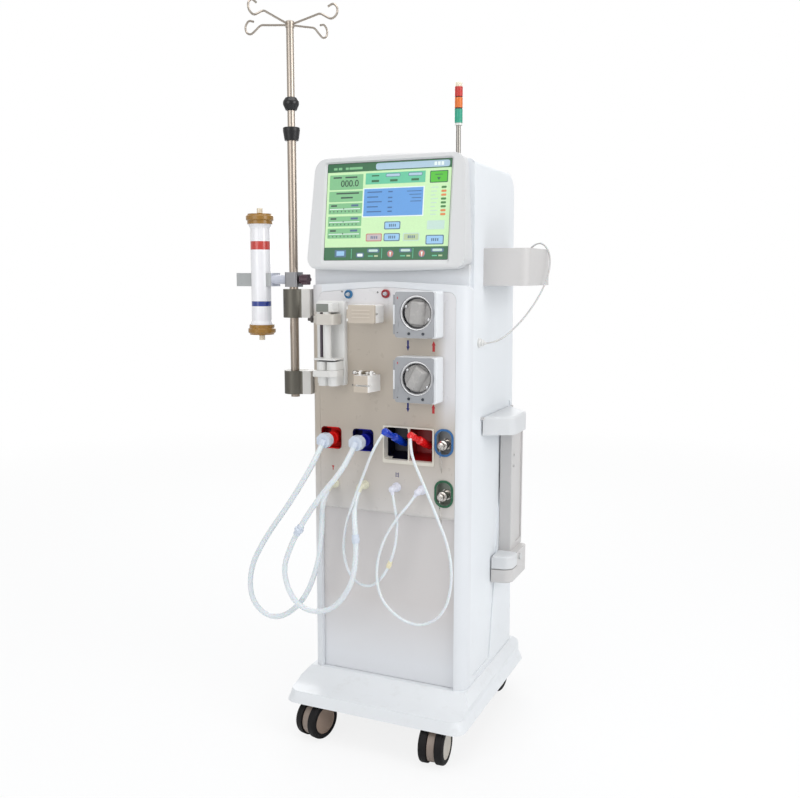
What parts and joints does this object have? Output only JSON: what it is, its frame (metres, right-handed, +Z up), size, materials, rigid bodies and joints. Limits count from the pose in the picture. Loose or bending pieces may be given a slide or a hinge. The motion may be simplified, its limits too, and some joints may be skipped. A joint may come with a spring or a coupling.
{
  "type": "dialysis machine",
  "caption": "Wheeled haemodialysis machine with leaning touch screen, blood and syringe pumps, rinse docks, hoses, side pole with dialyser, cuff basket and cartridge holder",
  "frame": {"origin": "middle of the whole outline on the floor", "axes": "+Z up, +Y from the screen side to the rear, +X to the right seen from the front"},
  "size_m": [0.7243, 0.5332, 1.7178],
  "materials": {
    "white_shell": "satin",
    "panel_beige": "satin",
    "door_grey": "satin",
    "frame_steel": "satin",
    "display": "gloss",
    "pump_grey": "satin",
    "rotor_grey": "satin",
    "roller_white": "satin",
    "unit_white": "satin",
    "unit_beige": "satin",
    "black_plastic": "satin",
    "plated": "polished",
    "blue_plastic": "satin",
    "seat_red": "satin",
    "wand_blue": "satin",
    "nipple_cream": "satin",
    "hose_milky": "satin",
    "connector_pale": "satin",
    "cuff_grey": "satin",
    "pole_steel": "satin",
    "bracket_grey": "satin",
    "clamp_grey": "satin",
    "knob_brown": "satin",
    "holder_blue": "satin",
    "dialyser_shell": "gloss",
    "cap_amber": "gloss",
    "lamp": "gloss",
    "caster_grey": "satin",
    "caster_tread": "matte"
  },
  "bodies": {
    "machine": {"base_cover": "white_shell", "chassis_frame": "frame_steel", "main_housing": "white_shell", "rear_cover": "white_shell", "front_fascia": "white_shell", "touch_screen": "display", "front_panel": "panel_beige", "lower_door": "door_grey", "pump_housings": "unit_white", "syringe_pump_base": "unit_white", "air_detector_body": "unit_white", "venous_clamp_body": "unit_beige", "pressure_ports": "blue_plastic", "hose_seats": "seat_red", "rinse_housing": "unit_white", "rinse_wands": "wand_blue", "disinfectant_ports": "blue_plastic", "concentrate_nipples": "nipple_cream", "hose_one": "hose_milky", "hose_two": "hose_milky", "hose_three": "hose_milky", "hose_four": "hose_milky", "hose_fittings": "connector_pale", "cuff_tube": "cuff_grey", "cuff_basket": "white_shell", "cuff_fittings": "connector_pale", "pole_brackets": "bracket_grey", "pole_outer_tube": "pole_steel", "signal_tower": "lamp", "cartridge_column": "white_shell"},
    "power_rocker": {"power_switch": "black_plastic"},
    "upper_pump_door": {"pump_door_upper": "pump_grey"},
    "lower_pump_door": {"pump_door_lower": "pump_grey"},
    "upper_rotor": {"pump_rotor_upper": "rotor_grey", "pump_rollers_upper": "roller_white"},
    "lower_rotor": {"pump_rotor_lower": "rotor_grey", "pump_rollers_lower": "roller_white"},
    "carriage": {"syringe_carriage": "unit_white"},
    "release_lever": {"syringe_release_lever": "black_plastic"},
    "barrel_clamp": {"syringe_barrel_clamp": "unit_white"},
    "detector_door": {"air_detector_door": "unit_beige"},
    "pull_pin": {"venous_clamp_plunger": "plated"},
    "hanger_pole": {"pole_inner_tube": "pole_steel"},
    "lock_collar": {"pole_collar": "black_plastic"},
    "dialyser_slide": {"dialyser_clamp": "clamp_grey"},
    "grip_knob": {"clamp_knob": "knob_brown"},
    "dialyser_swing": {"dialyser_holder": "holder_blue", "dialyser_body": "dialyser_shell", "dialyser_caps": "cap_amber"},
    "holder_lid": {"cartridge_lid": "white_shell"},
    "holder_button": {"cartridge_button": "black_plastic"},
    "holder_arm": {"cartridge_arm": "white_shell"},
    "swivel_front_left": {"caster_swivel_front_left": "caster_grey"},
    "wheels_front_left": {"caster_wheels_front_left": "caster_tread"},
    "swivel_front_right": {"caster_swivel_front_right": "caster_grey"},
    "wheels_front_right": {"caster_wheels_front_right": "caster_tread"},
    "swivel_rear_left": {"caster_swivel_rear_left": "caster_grey"},
    "wheels_rear_left": {"caster_wheels_rear_left": "caster_tread"},
    "swivel_rear_right": {"caster_swivel_rear_right": "caster_grey"},
    "wheels_rear_right": {"caster_wheels_rear_right": "caster_tread"}
  },
  "joints": [
    {"name": "power_rocker_tilt", "type": "hinge", "parent": "machine", "child": "power_rocker", "pos_m": [-0.019, 0.23192, 0.276], "axis": [1, 0, 0], "range_deg": [0, 9]},
    {"name": "upper_door_hinge", "type": "hinge", "parent": "machine", "child": "upper_pump_door", "pos_m": [0.0904, -0.17966, 1.028], "axis": [0, 0, -1], "range_deg": [0, 110]},
    {"name": "lower_door_hinge", "type": "hinge", "parent": "machine", "child": "lower_pump_door", "pos_m": [0.0904, -0.17966, 0.882], "axis": [0, 0, -1], "range_deg": [0, 110]},
    {"name": "upper_rotor_spin", "type": "hinge", "parent": "machine", "child": "upper_rotor", "pos_m": [0.1445, -0.15735, 1.032], "axis": [0, 1, 0], "continuous": true},
    {"name": "lower_rotor_spin", "type": "hinge", "parent": "machine", "child": "lower_rotor", "pos_m": [0.1445, -0.15735, 0.886], "axis": [0, 1, 0], "continuous": true},
    {"name": "carriage_slide", "type": "slide", "parent": "machine", "child": "carriage", "axis": [0, 0, 1], "range_m": [-0.072, 0]},
    {"name": "release_lever_turn", "type": "hinge", "parent": "carriage", "child": "release_lever", "pos_m": [-0.113, -0.18435, 1.014], "axis": [1, 0, 0], "range_deg": [0, 90]},
    {"name": "barrel_clamp_swing", "type": "hinge", "parent": "machine", "child": "barrel_clamp", "pos_m": [-0.057, -0.16135, 0.8895], "axis": [0, 0, 1], "range_deg": [0, 60]},
    {"name": "detector_door_hinge", "type": "hinge", "parent": "machine", "child": "detector_door", "pos_m": [-0.0244, -0.18346, 1.0275], "axis": [0, 0, -1], "range_deg": [0, 100]},
    {"name": "pull_pin_slide", "type": "slide", "parent": "machine", "child": "pull_pin", "axis": [-1, 0, 0], "range_m": [0, 0.005], "stiffness_N_per_m": 400, "springref_m": -0.002},
    {"name": "hanger_pole_slide", "type": "slide", "parent": "machine", "child": "hanger_pole", "axis": [0, 0, 1], "range_m": [-0.038, 0.15]},
    {"name": "lock_collar_turn", "type": "hinge", "parent": "machine", "child": "lock_collar", "pos_m": [-0.197, -0.12735, 1.443], "axis": [0, 0, 1], "range_deg": [0, 90]},
    {"name": "dialyser_clamp_slide", "type": "slide", "parent": "machine", "child": "dialyser_slide", "axis": [0, 0, 1], "range_m": [0, 0.3]},
    {"name": "grip_knob_turn", "type": "hinge", "parent": "dialyser_slide", "child": "grip_knob", "pos_m": [-0.167, -0.12735, 1.1045], "axis": [1, 0, 0], "continuous": true},
    {"name": "dialyser_turn", "type": "hinge", "parent": "dialyser_slide", "child": "dialyser_swing", "pos_m": [-0.221, -0.12735, 1.1045], "axis": [1, 0, 0], "range_deg": [-90, 90]},
    {"name": "holder_lid_hinge", "type": "hinge", "parent": "machine", "child": "holder_lid", "pos_m": [0.2524, 0.08164, 0.421], "axis": [0, -1, 0], "range_deg": [0, 60]},
    {"name": "holder_button_press", "type": "slide", "parent": "machine", "child": "holder_button", "axis": [-1, 0, 0], "range_m": [0, 0.002], "stiffness_N_per_m": 500, "springref_m": -0.001},
    {"name": "holder_arm_hinge", "type": "hinge", "parent": "machine", "child": "holder_arm", "pos_m": [0.2524, 0.08264, 0.781], "axis": [0, -1, 0], "range_deg": [0, 85]},
    {"name": "swivel_front_left_turn", "type": "hinge", "parent": "machine", "child": "swivel_front_left", "pos_m": [-0.104, -0.18335, 0.1], "axis": [0, 0, 1], "continuous": true},
    {"name": "wheels_front_left_roll", "type": "hinge", "parent": "swivel_front_left", "child": "wheels_front_left", "pos_m": [-0.10836, -0.20082, 0.045], "axis": [0.9703, -0.2419, 0], "continuous": true},
    {"name": "swivel_front_right_turn", "type": "hinge", "parent": "machine", "child": "swivel_front_right", "pos_m": [0.202, -0.18335, 0.1], "axis": [0, 0, 1], "continuous": true},
    {"name": "wheels_front_right_roll", "type": "hinge", "parent": "swivel_front_right", "child": "wheels_front_right", "pos_m": [0.20326, -0.20131, 0.045], "axis": [0.9976, 0.0698, 0], "continuous": true},
    {"name": "swivel_rear_left_turn", "type": "hinge", "parent": "machine", "child": "swivel_rear_left", "pos_m": [-0.104, 0.19764, 0.1], "axis": [0, 0, 1], "continuous": true},
    {"name": "wheels_rear_left_roll", "type": "hinge", "parent": "swivel_rear_left", "child": "wheels_rear_left", "pos_m": [-0.10713, 0.21537, 0.045], "axis": [-0.9848, -0.1736, 0], "continuous": true},
    {"name": "swivel_rear_right_turn", "type": "hinge", "parent": "machine", "child": "swivel_rear_right", "pos_m": [0.202, 0.19764, 0.1], "axis": [0, 0, 1], "continuous": true},
    {"name": "wheels_rear_right_roll", "type": "hinge", "parent": "swivel_rear_right", "child": "wheels_rear_right", "pos_m": [0.20388, 0.21555, 0.045], "axis": [-0.9945, 0.1045, 0], "continuous": true}
  ]
}
